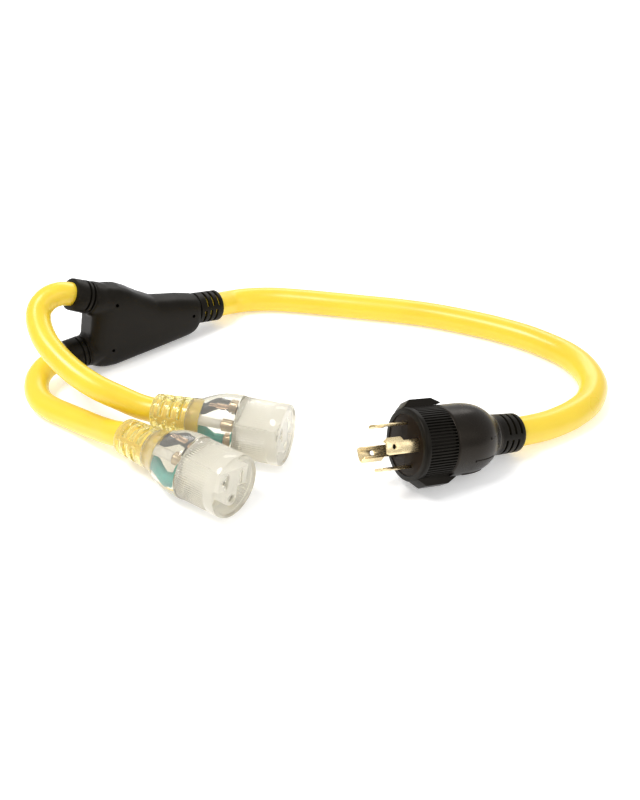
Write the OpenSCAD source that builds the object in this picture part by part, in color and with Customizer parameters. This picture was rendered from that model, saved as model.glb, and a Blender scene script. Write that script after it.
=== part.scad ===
// Y adapter cord set: one four-blade locking plug feeds two clear straight-blade connectors.
// Frame: millimetres, +Z up, floor at z = 0, origin under the middle of the plug, splitter and
// connectors. The two connectors point towards +X and -Y, and the plug points towards -X.

/* [Cords] */
// Outer diameter of the four-conductor main cord
main_cord_d = 18.5; // [17.5:0.1:18.5]
// Outer diameter of the two three-conductor branch cords
branch_cord_d = 15.8; // [15.4:0.1:16.2]
// Outer diameter of one insulated conductor
wire_d = 4.6; // [4:0.1:4.6]
// Clearance all round between a moulding and the cord, wire or insert inside it
seat_gap = 0.1; // [0.05:0.01:0.15]

/* [Plug] */
// Length from the plug's face to the end of its strain relief
plug_len = 79; // [78:1:84]
// Radius of the grip collar, without its wings
collar_r = 21.5; // [21:0.1:22]
// Length of the grip collar
collar_len = 22; // [21:0.5:23]
// How far the two wings stand out of the collar
wing_rise = 3.9; // [3:0.1:4]
// Number of grip ribs around the collar
collar_ribs = 72; // [48:4:72]
// Radius of the circle that the four blades stand on
blade_circle_r = 12.8; // [12:0.1:13]
// Thickness of a blade
blade_t = 1.3; // [1.2:0.1:1.6]
// How far the neutral and the two hot blades stand out of the face
blade_reach = 20.5; // [19:0.5:22]
// How far the ground blade stands out of the face
ground_reach = 24.5; // [22:0.5:25]

/* [Connectors] */
// Length from a connector's face to the end of its strain relief
connector_len = 85; // [85:1:92]
// Radius of a connector's front barrel
barrel_r = 19; // [18.5:0.1:19.2]
// Distance between the two blade slots
slot_spacing = 12.7; // [12.7:0.1:12.7]
// Width of a blade slot
slot_w = 2.4; // [2:0.1:2.6]
// Height of a blade slot
slot_h = 8.2; // [7.5:0.1:8.5]
// Distance from the blade slots' centre line down to the ground hole
ground_drop = 11.9; // [11.9:0.1:11.9]
// Radius of the ground hole
ground_r = 2.6; // [2.5:0.05:2.7]

/* [Splitter] */
// Length from the main cord's end of the body to the roots of the two arms
splitter_len = 85; // [85:1:86]
// Half the distance between the roots of the arms
arm_half = 19.4; // [19.4:0.1:19.8]
// Radius of the body's rounded edge, which is half its thickness
splitter_r = 12; // [12:0.1:12.2]

/* [Hidden] */
$fn = 64;
eps = 0.01;
wire_r = wire_d / 2;

// Where each head lies: [place of its face's centre or of its root, [roll, pitch, yaw]]
PLUG = [[78, -81.7, 29], [33, 11.3, 205.5]];
FAR = [[9, -59.7, 19.6], [0, -0.8, -16.5]];
NEAR = [[-18, -108.2, 20], [-17, 1, -35.5]];
SPLITTER = [[-66.2, 102.8, 19.1], [94, -11.3, 40.6]];

// Strain reliefs of the splitter
trunk_relief = 20;
arm_relief = 18;
far_splay = 17.8;
near_splay = 9.6;
jacket_in = 6;

// Lengths inside the heads
relief_len = 25;
chamber_back = 52;
chamber_front = 31;
carrier_front = 3;
carrier_back = 29;
plug_chamber_back = 46;
face_t = 8;

// Where the ground blade stands round the face; the neutral blade stands at 0
ground_turn = 102;

// ---------- Placing ----------

function rot_x(a, p) = [p.x, p.y * cos(a) - p.z * sin(a), p.y * sin(a) + p.z * cos(a)];
function rot_y(a, p) = [p.x * cos(a) + p.z * sin(a), p.y, -p.x * sin(a) + p.z * cos(a)];
function rot_z(a, p) = [p.x * cos(a) - p.y * sin(a), p.x * sin(a) + p.y * cos(a), p.z];

// A head's local point in the part's frame
function placed(head, p) = head[0] + rot_z(head[1][2], rot_y(-head[1][1], rot_x(head[1][0], p)));

module place(head) {
    translate(head[0]) rotate([head[1][0], -head[1][1], head[1][2]]) children();
}

// A point on the axis of one of the splitter's arms, l outwards from the arm's root
function arm_point(side, splay, l) =
    [-splitter_len - l * cos(splay), side * (arm_half + l * sin(splay)), 0];
// The same, moved across the arm in the splitter's plane by `across` and up by `rise`
function arm_inside(side, splay, l, across, rise) =
    arm_point(side, splay, l) + [side * across * sin(splay), across * cos(splay), rise];
function far_arm(l) = placed(SPLITTER, arm_point(1, far_splay, l));
function near_arm(l) = placed(SPLITTER, arm_point(-1, near_splay, l));

// ---------- Cord routes: hand-laid points between the heads ----------

main_route = concat(
    [for (x = [-jacket_in, 7, trunk_relief]) placed(SPLITTER, [x, 0, 0])],
    [
        [-40.8, 129.6, 10.4], [-27.1, 135.2, 9.5], [-8.2, 136.6, 9.3], [14.5, 133.4, 9.3],
        [39.5, 128.3, 9.3], [64.3, 123, 9.3], [88.7, 117.7, 9.3], [112.5, 110.9, 9.3],
        [135.4, 101.7, 9.3], [157.4, 91, 9.3], [177.9, 78.1, 9.3], [192.6, 65.2, 9.3],
        [204.8, 50.9, 9.3], [212.1, 33.4, 9.3], [213, 11.8, 9.3], [205, -8, 9.3],
        [193, -21.2, 9.3], [180.7, -30.1, 9.3], [167.1, -38.3, 10.3]
    ],
    [for (x = [plug_len, plug_len - 12, plug_len - 24, plug_chamber_back])
        placed(PLUG, [-x, 0, 0])]
);
far_route = concat(
    [for (l = [-jacket_in, 5, arm_relief]) far_arm(l)],
    [
        [-143.8, 34.4, 65.8], [-150, 29.5, 64.5], [-153.8, 22.5, 60.5], [-152.5, 13.5, 55.5],
        [-146.8, 2.4, 50], [-138.9, -6.9, 45.2], [-130, -15.1, 41], [-119.9, -22.2, 36.8],
        [-107.9, -27.7, 32], [-95.6, -30.3, 27], [-83.6, -33, 22.6]
    ],
    [for (x = [connector_len, connector_len - 12, chamber_back]) placed(FAR, [-x, 0, 0])]
);
near_route = concat(
    [for (l = [-jacket_in, 5, arm_relief]) near_arm(l)],
    [
        [-153.3, 29.7, 16.6], [-158.7, 24.2, 14.8], [-161.4, 15.1, 12.4], [-159.6, 3.7, 10.2],
        [-153.4, -7.4, 8.9], [-144.4, -15.2, 8.3], [-133.1, -22.7, 8.5], [-120.6, -31.9, 9.8],
        [-108.4, -42, 12.2], [-97.3, -51.6, 15.8]
    ],
    [for (x = [connector_len, connector_len - 12, chamber_back]) placed(NEAR, [-x, 0, 0])]
);
main_rings = 40;
far_rings = 33;
near_rings = 31;
cord_sides = 12;
wire_sides = 8;
wire_rings = 2;

// A point on the smooth curve through a route, u from 0 at its start to 1 at its end
function mixed(a, b, c, d, t) = 0.5 * (2 * b + (c - a) * t + (2 * a - 5 * b + 4 * c - d) * t * t
    + (3 * b - a - 3 * c + d) * t * t * t);
function along(pts, u) = let (
        n = len(pts) - 1,
        i = min(n - 1, floor(u * n)),
        before = i == 0 ? 2 * pts[0] - pts[1] : pts[i - 1],
        after = i == n - 1 ? 2 * pts[n] - pts[n - 1] : pts[i + 2]
    ) mixed(before, pts[i], pts[i + 1], after, u * n - i);
function unit(v) = v / norm(v);
function heading(pts, u) = unit(along(pts, min(1, u + 0.002)) - along(pts, max(0, u - 0.002)));

module tube(pts, r, rings, sides) {
    ring_points = [for (i = [0:rings - 1]) let (
            u = i / (rings - 1),
            way = heading(pts, u),
            side = unit(cross([0, 0, 1], way)),
            up = cross(way, side)
        ) for (k = [0:sides - 1]) let (a = (k + 0.5) * 360 / sides)
            along(pts, u) + r * (cos(a) * side + sin(a) * up)];
    walls = [for (i = [0:rings - 2], k = [0:sides - 1]) let (
            a = i * sides + k,
            b = i * sides + (k + 1) % sides
        ) each [[a, a + sides, b + sides], [a, b + sides, b]]];
    start = [for (k = [0:sides - 1]) k];
    end = [for (k = [sides - 1:-1:0]) (rings - 1) * sides + k];
    polyhedron(ring_points, concat(walls, [start], [end]));
}

module main_cord() {
    color("gold") tube(main_route, main_cord_d / 2, main_rings, cord_sides);
}

module branch_cord_far() {
    color("gold") tube(far_route, branch_cord_d / 2, far_rings, cord_sides);
}

module branch_cord_near() {
    color("gold") tube(near_route, branch_cord_d / 2, near_rings, cord_sides);
}

// ---------- Shared shapes, each along the head's own x axis ----------

// A solid of revolution about x; the profile's points are [x, radius]
module turned(profile) {
    rotate([0, 90, 0]) rotate([0, 0, 90]) rotate_extrude() polygon([for (p = profile) [p[1], p[0]]]);
}

// A cylinder from x = a to x = b
module rod(a, b, r) {
    translate([a, 0, 0]) rotate([0, 90, 0]) cylinder(h = b - a, r = r);
}

// A conductor swept smoothly through a list of points
module wire(pts) {
    tube(pts, wire_r, wire_rings * (len(pts) - 1) + 1, wire_sides);
}

// Rows of slots through a strain relief, staggered from row to row; back is its free end
module relief_slots(back, length, r, rows) {
    pitch = length / (rows + 1);
    for (i = [1:rows], k = [0:3])
        translate([back + i * pitch, 0, 0]) rotate([90 * k + 45 * (i % 2) + 25, 0, 0])
            translate([-1.1, -r * 0.4, r * 0.72]) cube([2.2, r * 0.8, r]);
}

// ---------- Plug ----------

module plug_body() {
    shoulder = 61;
    color([0.06, 0.06, 0.06]) place(PLUG) difference() {
        union() {
            turned([
                [-face_t - 1, 0], [-face_t - 1, 18], [-collar_len - 0.2, 18],
                [-collar_len - 0.2, 21.4], [-38, 21.4], [-44, 20.7], [-49, 19.2], [-53, 17],
                [-56, 14.8], [-59, 12.9], [-shoulder, 12.6], [-shoulder, 0]
            ]);
            turned([
                [-shoulder + eps, 0], [-shoulder + eps, 12.6], [-plug_len + 1, 12], [-plug_len, 11.4],
                [-plug_len, 0]
            ]);
        }
        rod(-plug_len - 1, -plug_chamber_back + eps, main_cord_d / 2 + seat_gap);
        rod(-plug_chamber_back, -face_t, 13.6);
        rod(-31, -face_t, 16.3);
        relief_slots(-plug_len, plug_len - shoulder, 12.6, 3);
    }
}

module plug_collar() {
    lip = 3;
    color([0.08, 0.08, 0.08]) place(PLUG) difference() {
        union() {
            translate([-collar_len, 0, 0]) rotate([90, 0, 90]) linear_extrude(collar_len - lip + 0.5) {
                circle(r = collar_r - 0.8);
                for (k = [0:collar_ribs - 1]) rotate(k * 360 / collar_ribs)
                    translate([collar_r - 2, -0.45]) square([1.8, 0.9]);
            }
            turned([[-lip, 0], [-lip, collar_r], [-0.8, collar_r], [0, collar_r - 0.8], [0, 0]]);
            for (side = [12, 192]) rotate([side, 0, 0]) wing();
        }
        rod(-collar_len - 1, 1, 18 + seat_gap);
    }
}

// One wing: a block with sloped ends that stands on the collar and overhangs the body behind it
module wing() {
    top = collar_r + wing_rise;
    foot = collar_r - 2.4;
    translate([0, 4.8, 0]) rotate([90, 0, 0]) linear_extrude(9.6) polygon([
        [-collar_len + 0.1, foot], [-collar_len + 0.1, 21.7], [-26.5, 21.7], [-26.5, 22.1],
        [-20.5, top], [-5.5, top], [-0.5, collar_r - 0.3], [-0.5, foot]
    ]);
}

module plug_face() {
    color([0.1, 0.1, 0.1]) place(PLUG) difference() {
        rod(-face_t, 0, 18);
        for (turn = [0, ground_turn, 180, 270]) rotate([turn, 0, 0])
            blade_plate(-face_t - 1, 1, 32, seat_gap);
        rod(-face_t - 1, 1, 1.6);
    }
}

// A curved plate on the blade circle from x = a to x = b; its arc spans `span` degrees
module blade_plate(a, b, span, gap = 0, shift = 0) {
    grown = span + 2 * gap * 180 / PI / blade_circle_r;
    rotate([shift - grown / 2, 0, 0]) translate([a, 0, 0]) rotate([0, 90, 0])
        rotate_extrude(angle = grown) translate([-blade_circle_r - blade_t / 2 - gap, 0])
            square([blade_t + 2 * gap, b - a]);
}

// One blade: a plate through the face, a wider hooked front half, a hole and a crimp barrel;
// `tab` is where a bent tab stands on it, in degrees round from its middle, or 0 for none
module blade(turn, front, tab) {
    back = -face_t - 4;
    hook_gap = 0.05;
    place(PLUG) rotate([turn, 0, 0]) difference() {
        union() {
            blade_plate(back, 11, 32);
            blade_plate(9, front, 42, hook_gap, 5);
            translate([0, 0, blade_circle_r]) rod(back - 7, back + 1, wire_r + 0.8);
            if (tab != 0) rotate([tab, 0, 0]) translate([9, -blade_t / 2, blade_circle_r - 4])
                cube([front - 9, blade_t, 4]);
        }
        translate([0, 0, blade_circle_r]) rod(back - 8, back - 0.5, wire_r + 0.05);
        translate([15.6, 0, 0]) cylinder(h = 2 * blade_circle_r, r = 1.5, $fn = 32);
    }
}

module blade_ground() {
    color("goldenrod") blade(ground_turn, ground_reach, 21);
}

module blade_neutral() {
    color("goldenrod") blade(0, blade_reach, 0);
}

module blade_hot_x() {
    color("goldenrod") blade(270, blade_reach, 21);
}

module blade_hot_y() {
    color("goldenrod") blade(180, blade_reach, 0);
}

// A conductor inside the plug, from the jacket's end to the barrel behind a blade
module plug_wire(turn) {
    start = 5.2;
    place(PLUG) rotate([turn, 0, 0]) wire([
        [-plug_chamber_back + 0.3, 0, start], [-42, 0, start + 0.2], [-31, 0, blade_circle_r - 2.4],
        [-25, 0, blade_circle_r - 0.3], [-21, 0, blade_circle_r], [-17, 0, blade_circle_r],
        [-face_t - 5, 0, blade_circle_r]
    ]);
}

module plug_wire_ground() {
    color("green") plug_wire(ground_turn);
}

module plug_wire_neutral() {
    color("white") plug_wire(0);
}

module plug_wire_hot_x() {
    color([0.15, 0.15, 0.15]) plug_wire(270);
}

module plug_wire_hot_y() {
    color("red") plug_wire(180);
}

// ---------- Splitter ----------

// Children along one arm: their +x axis points outwards from the arm's root
module on_arm(side, splay) {
    translate([-splitter_len, side * arm_half, 0]) rotate([0, 0, 180 - side * splay]) children();
}

module splitter_relief(length, root_r, bore_r, rows) {
    difference() {
        turned([[-3, 0], [-3, root_r], [length - 1, root_r - 1.2], [length, root_r - 2], [length, 0]]);
        rod(-4, length + 1, bore_r);
        rotate([0, 180, 0]) relief_slots(-length, length, root_r, rows);
    }
}

// A round-edged slice of the body at x, from y = low up to y = top
module splitter_slice(x, low, top, r) {
    for (y = [low + r, top - r]) translate([x, y, 0]) rod(-0.5, 0.5, r);
}

module splitter_body() {
    main_bore = main_cord_d / 2 + seat_gap;
    arm_bore = branch_cord_d / 2 + seat_gap;
    color([0.07, 0.07, 0.07]) place(SPLITTER) {
        difference() {
            union() {
                hull($fn = 32) {
                    splitter_slice(-1, -17, 10.6, splitter_r - 1.4);
                    splitter_slice(-8, -19.7, 12.4, splitter_r);
                    splitter_slice(-38, -26.35, 14.6, splitter_r);
                }
                hull($fn = 32) {
                    splitter_slice(-37, -26.13, 14.5, splitter_r);
                    splitter_slice(-52, -29.45, 21, splitter_r);
                    splitter_slice(-68, -33, 28, splitter_r);
                    splitter_slice(-78, -32.4, 28.8, splitter_r);
                    on_arm(1, far_splay) rod(-2, 1, splitter_r - 0.4);
                    on_arm(-1, near_splay) rod(-2, 1, splitter_r - 0.4);
                }
            }
            rod(-14, 1, main_bore);
            on_arm(1, far_splay) rod(-jacket_in - 3, 4, arm_bore);
            on_arm(-1, near_splay) rod(-jacket_in - 3, 4, arm_bore);
            premould_block(seat_gap);
            for (p = [[-72.4, 17.3], [-72.4, -17.3], [-7.6, 0]])
                translate([p.x, p.y, splitter_r - 0.5]) cylinder(h = 2, r = 1.3);
        }
        splitter_relief(trunk_relief, 11.7, main_bore, 3);
        on_arm(1, far_splay) splitter_relief(arm_relief, splitter_r - 0.5, arm_bore, 3);
        on_arm(-1, near_splay) splitter_relief(arm_relief, splitter_r - 0.5, arm_bore, 3);
    }
}

// The outline of the flat wedge that the inner moulding fills, grown by `gap`
module premould_outline(gap) {
    back = -splitter_len + 6;
    polygon([
        [-13 + gap, 7.4 + gap], [-13 + gap, -15 - gap], [-36, -20.4 - gap], [-68, -27.4 - gap],
        [back - gap, -26.6 - gap], [back - gap, 23 + gap], [-66, 22.4 + gap], [-50, 15 + gap],
        [-36, 10 + gap]
    ]);
}

module premould_block(gap) {
    deep = 15.5;
    translate([0, 0, -deep / 2 - gap]) linear_extrude(deep + 2 * gap) premould_outline(gap);
}

module splitter_premould() {
    wall = 1;
    deep = 13.5;
    color("gainsboro") place(SPLITTER) difference() {
        premould_block(0);
        translate([0, 0, -deep / 2]) linear_extrude(deep) premould_outline(-wall);
        rod(-16, -10, 7.7);
        on_arm(1, far_splay) rod(-jacket_in - 5, 4, branch_cord_d / 2 + seat_gap);
        on_arm(-1, near_splay) rod(-jacket_in - 5, 4, branch_cord_d / 2 + seat_gap);
    }
}

// Where the four splices lie across the splitter
splice_x = -58;
splice_mid = -3.5;
hot_y = 14.2;
twin_y = 5.4;
twin_gap = 2.6;

// A crimp sleeve with one trunk wire in front and the wires at the given offsets behind
module splice(y, r, tails) {
    color("silver") place(SPLITTER) translate([splice_x, y + splice_mid, 0]) difference() {
        rod(-4.5, 4.5, r);
        rod(0.3, 5, wire_r + seat_gap);
        for (t = tails) translate([0, t, 0]) rod(-5, -0.3, wire_r + seat_gap);
    }
}

module splice_hot_x() {
    splice(hot_y, 3.2, [0]);
}

module splice_hot_y() {
    splice(-hot_y, 3.2, [0]);
}

module splice_neutral() {
    splice(twin_y, 5.2, [-twin_gap, twin_gap]);
}

module splice_ground() {
    splice(-twin_y, 5.2, [-twin_gap, twin_gap]);
}

// A conductor of the main cord inside the splitter: it leaves the jacket in a bunch of four and
// swings out to its own splice
module trunk_wire(side, top, y) {
    spread = y > twin_y ? 3.8 : 3.4;
    swing = side * (y - spread) + splice_mid;
    place(SPLITTER) wire(concat(
        [[-jacket_in - 0.3, side * 3.3, top * 3.3]],
        [for (p = [[-14, 0, 3.2], [-28, 0.17, 2.5], [-38, 0.42, 1.7], [-45, 0.8, 0.6], [-50, 1, 0]])
            [p.x, side * spread + p.y * swing, top * p.z]],
        [for (x = [splice_x + 4, splice_x + 0.5]) [x, side * y + splice_mid, 0]]
    ));
}

module trunk_wire_hot_x() {
    color([0.15, 0.15, 0.15]) trunk_wire(1, 1, hot_y);
}

module trunk_wire_hot_y() {
    color("red") trunk_wire(-1, 1, hot_y);
}

module trunk_wire_neutral() {
    color("white") trunk_wire(1, -1, twin_y);
}

module trunk_wire_ground() {
    color("green") trunk_wire(-1, -1, twin_y);
}

// A conductor of one branch, from its jacket's end, through the given points, to its splice at y;
// the points and y are measured from the middle of the splices
module tail_wire(side, across, rise, through, y) {
    splay = side > 0 ? far_splay : near_splay;
    place(SPLITTER) wire(concat(
        [for (l = [jacket_in + 0.3, jacket_in + 3.3]) arm_inside(side, splay, -l, across, rise)],
        [for (p = concat(through, [for (x = [-4.4, -2.5, -0.5]) [x, y, 0]]))
            p + [splice_x, splice_mid, 0]]
    ));
}

module tail_wire_hot(side) {
    tail_wire(side, side * 1.4, 0, [[-10.5, side * (hot_y + 3.2), 0]], side * hot_y);
}

// The wire that ends in the twin splice on its own side of the middle
module tail_wire_close(side) {
    tail_wire(side, -side * 3, side * 4, [[-10, side * 11, side * 2.4]], side * (twin_y + twin_gap));
}

// The wire that crosses the middle to the other twin splice
module tail_wire_cross(side) {
    tail_wire(side, -side * 3, -side * 4,
        [[-12, side * 6, -side * 3.8], [-8.6, 0, -side * 3.4]], -side * (twin_y - twin_gap));
}

module tail_wire_far_hot() {
    color([0.15, 0.15, 0.15]) tail_wire_hot(1);
}

module tail_wire_far_neutral() {
    color("white") tail_wire_close(1);
}

module tail_wire_far_ground() {
    color("green") tail_wire_cross(1);
}

module tail_wire_near_hot() {
    color([0.15, 0.15, 0.15]) tail_wire_hot(-1);
}

module tail_wire_near_neutral() {
    color("white") tail_wire_cross(-1);
}

module tail_wire_near_ground() {
    color("green") tail_wire_close(-1);
}

// ---------- Connectors ----------

slots_z = 4.2;
slots_y = slot_spacing / 2;
ground_z = slots_z - ground_drop;

// The clear moulding: barrel, dome and strain relief, with room for everything inside it
module connector_shell(head) {
    shoulder = connector_len - relief_len + 1;
    color([0.85, 0.9, 0.85, 0.5]) place(head) difference() {
        turned([
            [0, 0], [0, barrel_r - 1], [-1, barrel_r], [-28, barrel_r], [-29, barrel_r + 0.4],
            [-40, barrel_r + 0.2], [-47, barrel_r - 1.4], [-53, barrel_r - 3.6],
            [-58, barrel_r - 5.2], [-shoulder, 12.4], [-connector_len + 1, 11.4],
            [-connector_len, 10.8], [-connector_len, 0]
        ]);
        rod(-connector_len - 1, -chamber_back + eps, branch_cord_d / 2 + seat_gap);
        turned([
            [-chamber_back, 0], [-chamber_back, 9.5], [-chamber_back + 6, 12.5],
            [-chamber_front, 13.5], [-chamber_front, 0]
        ]);
        translate([-chamber_front - eps, 0, 0])
            carrier_block(chamber_front - carrier_front + 3 * eps, seat_gap);
        blade_slots(-carrier_front - 1, 1, 0);
        translate([0, 0, ground_z]) rod(-carrier_front - 1, 1, ground_r);
        relief_slots(-connector_len, relief_len - 2, 12.4, 3);
    }
}

// A T-shaped block of the given length from x = 0: a bar across the slots, a stem to the ground
module carrier_block(length, gap) {
    rotate([90, 0, 90]) linear_extrude(length) union() {
        translate([-12 - gap, slots_z - 5.6 - gap]) square([24 + 2 * gap, 11.2 + 2 * gap]);
        translate([-4.6 - gap, ground_z]) square([9.2 + 2 * gap, 8]);
        translate([0, ground_z]) circle(r = 4.6 + gap);
    }
}

// The hot slot and the T-shaped neutral slot from x = a to x = b
module blade_slots(a, b, gap) {
    for (side = [-1, 1]) translate([a, side * slots_y - slot_w / 2 - gap, slots_z - slot_h / 2 - gap])
        cube([b - a, slot_w + 2 * gap, slot_h + 2 * gap]);
    translate([a, -slots_y - 4.2 - gap, slots_z - slot_w / 2 - gap])
        cube([b - a, 4.2, slot_w + 2 * gap]);
}

module connector_carrier(head) {
    length = carrier_back - carrier_front;
    color("whitesmoke") place(head) difference() {
        translate([-carrier_back, 0, 0]) carrier_block(length, 0);
        blade_slots(-carrier_back - 1, 0, 0.9);
        translate([0, 0, ground_z]) rod(-carrier_back - 1, 0, ground_r + 1);
    }
}

// A blade contact: two leaves either side of the blade, a bridge and a crimp barrel
module blade_contact(head, side) {
    leaf_t = 0.7;
    leaf_h = 6.4;
    back = -carrier_back - 0.2;
    color("goldenrod") place(head) translate([0, side * slots_y, slots_z]) difference() {
        union() {
            for (s = [-1, 1]) translate([back + 1, s * 1.35 - leaf_t / 2, -leaf_h / 2])
                cube([carrier_back - carrier_front - 5, leaf_t, leaf_h]);
            translate([back - 0.8, -1.7, -leaf_h / 2]) cube([2.5, 3.4, leaf_h]);
            rod(back - 8, back, wire_r + 0.7);
        }
        rod(back - 9, back - 1, wire_r + 0.05);
    }
}

// The ground contact: a split socket behind the ground hole, and a crimp barrel
module ground_contact(head) {
    back = -carrier_back - 0.2;
    color("goldenrod") place(head) translate([0, 0, ground_z]) difference() {
        union() {
            rod(back, -carrier_front - 8, ground_r + 0.9);
            rod(back - 8, back + 0.5, wire_r + 0.7);
        }
        rod(back + 2, 0, ground_r + 0.1);
        rod(back - 9, back - 1, wire_r + 0.05);
        translate([back + 4, -10, -0.5]) cube([30, 20, 1]);
    }
}

// A conductor inside a connector, from the jacket's end to a crimp barrel at [y, z]
module connector_wire(head, start, end) {
    back = -carrier_back - 1.3;
    place(head) wire([
        [-chamber_back + 0.3, start.x, start.y], [-chamber_back + 4, start.x, start.y],
        [-44, end.x, end.y], [-40, end.x, end.y], [-36, end.x, end.y], [back, end.x, end.y]
    ]);
}

// The indicator lamp: a small glass bulb with its two leads
module connector_lamp(head) {
    color([1, 0.7, 0.5]) place(head) translate([0, 0, 10.2]) {
        rod(-43, -37.5, 1.4);
        translate([-37.5, 0, 0]) sphere(r = 1.4, $fn = 24);
        for (side = [-1, 1]) translate([0, side * 0.7, 0]) rod(-47.5, -42.9, 0.35);
    }
}

module connector_far_shell() {
    connector_shell(FAR);
}

module connector_far_carrier() {
    connector_carrier(FAR);
}

module connector_far_contact_hot() {
    blade_contact(FAR, 1);
}

module connector_far_contact_neutral() {
    blade_contact(FAR, -1);
}

module connector_far_contact_ground() {
    ground_contact(FAR);
}

module connector_far_wire_hot() {
    color([0.15, 0.15, 0.15]) connector_wire(FAR, [4, 2.4], [slots_y, slots_z]);
}

module connector_far_wire_neutral() {
    color("white") connector_wire(FAR, [-4, 2.4], [-slots_y, slots_z]);
}

module connector_far_wire_ground() {
    color("teal") connector_wire(FAR, [0, -4.6], [0, ground_z]);
}

module connector_far_lamp() {
    connector_lamp(FAR);
}

module connector_near_shell() {
    connector_shell(NEAR);
}

module connector_near_carrier() {
    connector_carrier(NEAR);
}

module connector_near_contact_hot() {
    blade_contact(NEAR, 1);
}

module connector_near_contact_neutral() {
    blade_contact(NEAR, -1);
}

module connector_near_contact_ground() {
    ground_contact(NEAR);
}

module connector_near_wire_hot() {
    color([0.15, 0.15, 0.15]) connector_wire(NEAR, [4, 2.4], [slots_y, slots_z]);
}

module connector_near_wire_neutral() {
    color("white") connector_wire(NEAR, [-4, 2.4], [-slots_y, slots_z]);
}

module connector_near_wire_ground() {
    color("teal") connector_wire(NEAR, [0, -4.6], [0, ground_z]);
}

module connector_near_lamp() {
    connector_lamp(NEAR);
}

main_cord();
branch_cord_far();
branch_cord_near();
plug_body();
plug_collar();
plug_face();
blade_ground();
blade_neutral();
blade_hot_x();
blade_hot_y();
plug_wire_ground();
plug_wire_neutral();
plug_wire_hot_x();
plug_wire_hot_y();
splitter_body();
splitter_premould();
splice_hot_x();
splice_hot_y();
splice_neutral();
splice_ground();
trunk_wire_hot_x();
trunk_wire_hot_y();
trunk_wire_neutral();
trunk_wire_ground();
tail_wire_far_hot();
tail_wire_far_neutral();
tail_wire_far_ground();
tail_wire_near_hot();
tail_wire_near_neutral();
tail_wire_near_ground();
connector_far_shell();
connector_far_carrier();
connector_far_contact_hot();
connector_far_contact_neutral();
connector_far_contact_ground();
connector_far_wire_hot();
connector_far_wire_neutral();
connector_far_wire_ground();
connector_far_lamp();
connector_near_shell();
connector_near_carrier();
connector_near_contact_hot();
connector_near_contact_neutral();
connector_near_contact_ground();
connector_near_wire_hot();
connector_near_wire_neutral();
connector_near_wire_ground();
connector_near_lamp();
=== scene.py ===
import math

import bmesh
import bpy
import numpy as np
from mathutils import Matrix, Vector


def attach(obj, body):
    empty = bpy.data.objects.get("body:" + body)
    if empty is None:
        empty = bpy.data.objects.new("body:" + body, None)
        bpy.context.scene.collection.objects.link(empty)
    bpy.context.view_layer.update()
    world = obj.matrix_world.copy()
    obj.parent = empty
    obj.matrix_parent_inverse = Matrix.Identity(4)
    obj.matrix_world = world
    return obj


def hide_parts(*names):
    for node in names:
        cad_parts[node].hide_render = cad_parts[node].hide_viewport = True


# A Y adapter cord set on a pale floor. Lengths below are millimetres in the CAD frame; the mesh
# and curve helpers turn them into metres. Each head (plug, splitter, connector) has its own frame:
# +x runs out of its front face, or out of the splitter towards the main cord.

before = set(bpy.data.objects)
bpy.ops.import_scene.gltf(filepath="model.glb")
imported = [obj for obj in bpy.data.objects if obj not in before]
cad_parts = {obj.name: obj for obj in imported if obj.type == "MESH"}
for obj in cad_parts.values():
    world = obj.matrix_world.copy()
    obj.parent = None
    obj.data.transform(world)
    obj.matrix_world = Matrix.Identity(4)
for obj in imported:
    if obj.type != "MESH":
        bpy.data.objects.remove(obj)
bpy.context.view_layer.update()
MM = 0.001
ROOT = "root"

# ---------- Sizes shared with the CAD model ----------

MAIN_R = 9.25
BRANCH_R = 7.9
PLUG_LEN, PLUG_SHOULDER, COLLAR_LEN, COLLAR_R, WING_RISE = 79, 61, 22, 21.5, 3.9
PLUG_JACKET, FACE_R, FACE_T = 46, 18.0, 8
BLADE_CIRCLE, BLADE_T, BLADE_REACH = 12.8, 1.3, 20.5
GROUND_REACH, GROUND_TURN = 24.5, 102
BLADE_HALF, HOOK_HALF, HOOK_START = 3.6, 5.8, 10
BLADE_HOLE_X, BLADE_HOLE_Y, BLADE_HOLE_R = 15.6, 0.6, 1.5
WING_HALF, WING_TURN, WING_FOOT, WING_SKIRT = 4.8, 12, 19.4, 21.7
CONNECTOR_LEN, CONNECTOR_SHOULDER, BARREL_R = 85, 61, 19.0
JACKET_END, CARRIER_BACK, CARRIER_FRONT = 52, 29, 3
SLOTS_Y, SLOTS_Z, SLOT_W, SLOT_H, GROUND_R = 6.35, 4.2, 2.4, 8.2, 2.6
GROUND_Z = SLOTS_Z - 11.9
WIRE_R = 2.3
SPLITTER_LEN, ARM_HALF, SPLITTER_R = 85, 19.4, 12
TRUNK_RELIEF, ARM_RELIEF, JACKET_IN = 20, 18, 6
SPLAY = {1: 17.8, -1: 9.6}
PIN_SPOTS, PIN_R, PIN_DEPTH = ((-7.6, 0), (-72.4, 17.3), (-72.4, -17.3)), 1.3, 0.8


def head(place, roll, pitch, yaw):
    """A head's frame as a matrix in millimetres."""
    turn = (
        Matrix.Rotation(math.radians(yaw), 4, "Z")
        @ Matrix.Rotation(math.radians(-pitch), 4, "Y")
        @ Matrix.Rotation(math.radians(roll), 4, "X")
    )
    return Matrix.Translation(place) @ turn


PLUG = head((78, -81.7, 29), 33, 11.3, 205.5)
FAR = head((9, -59.7, 19.6), 0, -0.8, -16.5)
NEAR = head((-18, -108.2, 20), -17, 1, -35.5)
SPLITTER = head((-66.2, 102.8, 19.1), 94, -11.3, 40.6)


def arm_frame(side):
    """The frame of one of the splitter's arms: +x runs outwards from the arm's root."""
    turn = math.radians(180 - side * SPLAY[side])
    root = Matrix.Translation((-SPLITTER_LEN, side * ARM_HALF, 0))
    return SPLITTER @ root @ Matrix.Rotation(turn, 4, "Z")


def on_axis(where, stations):
    return [tuple(where @ Vector((x, 0, 0))) for x in stations]


# ---------- Camera ----------

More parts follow.
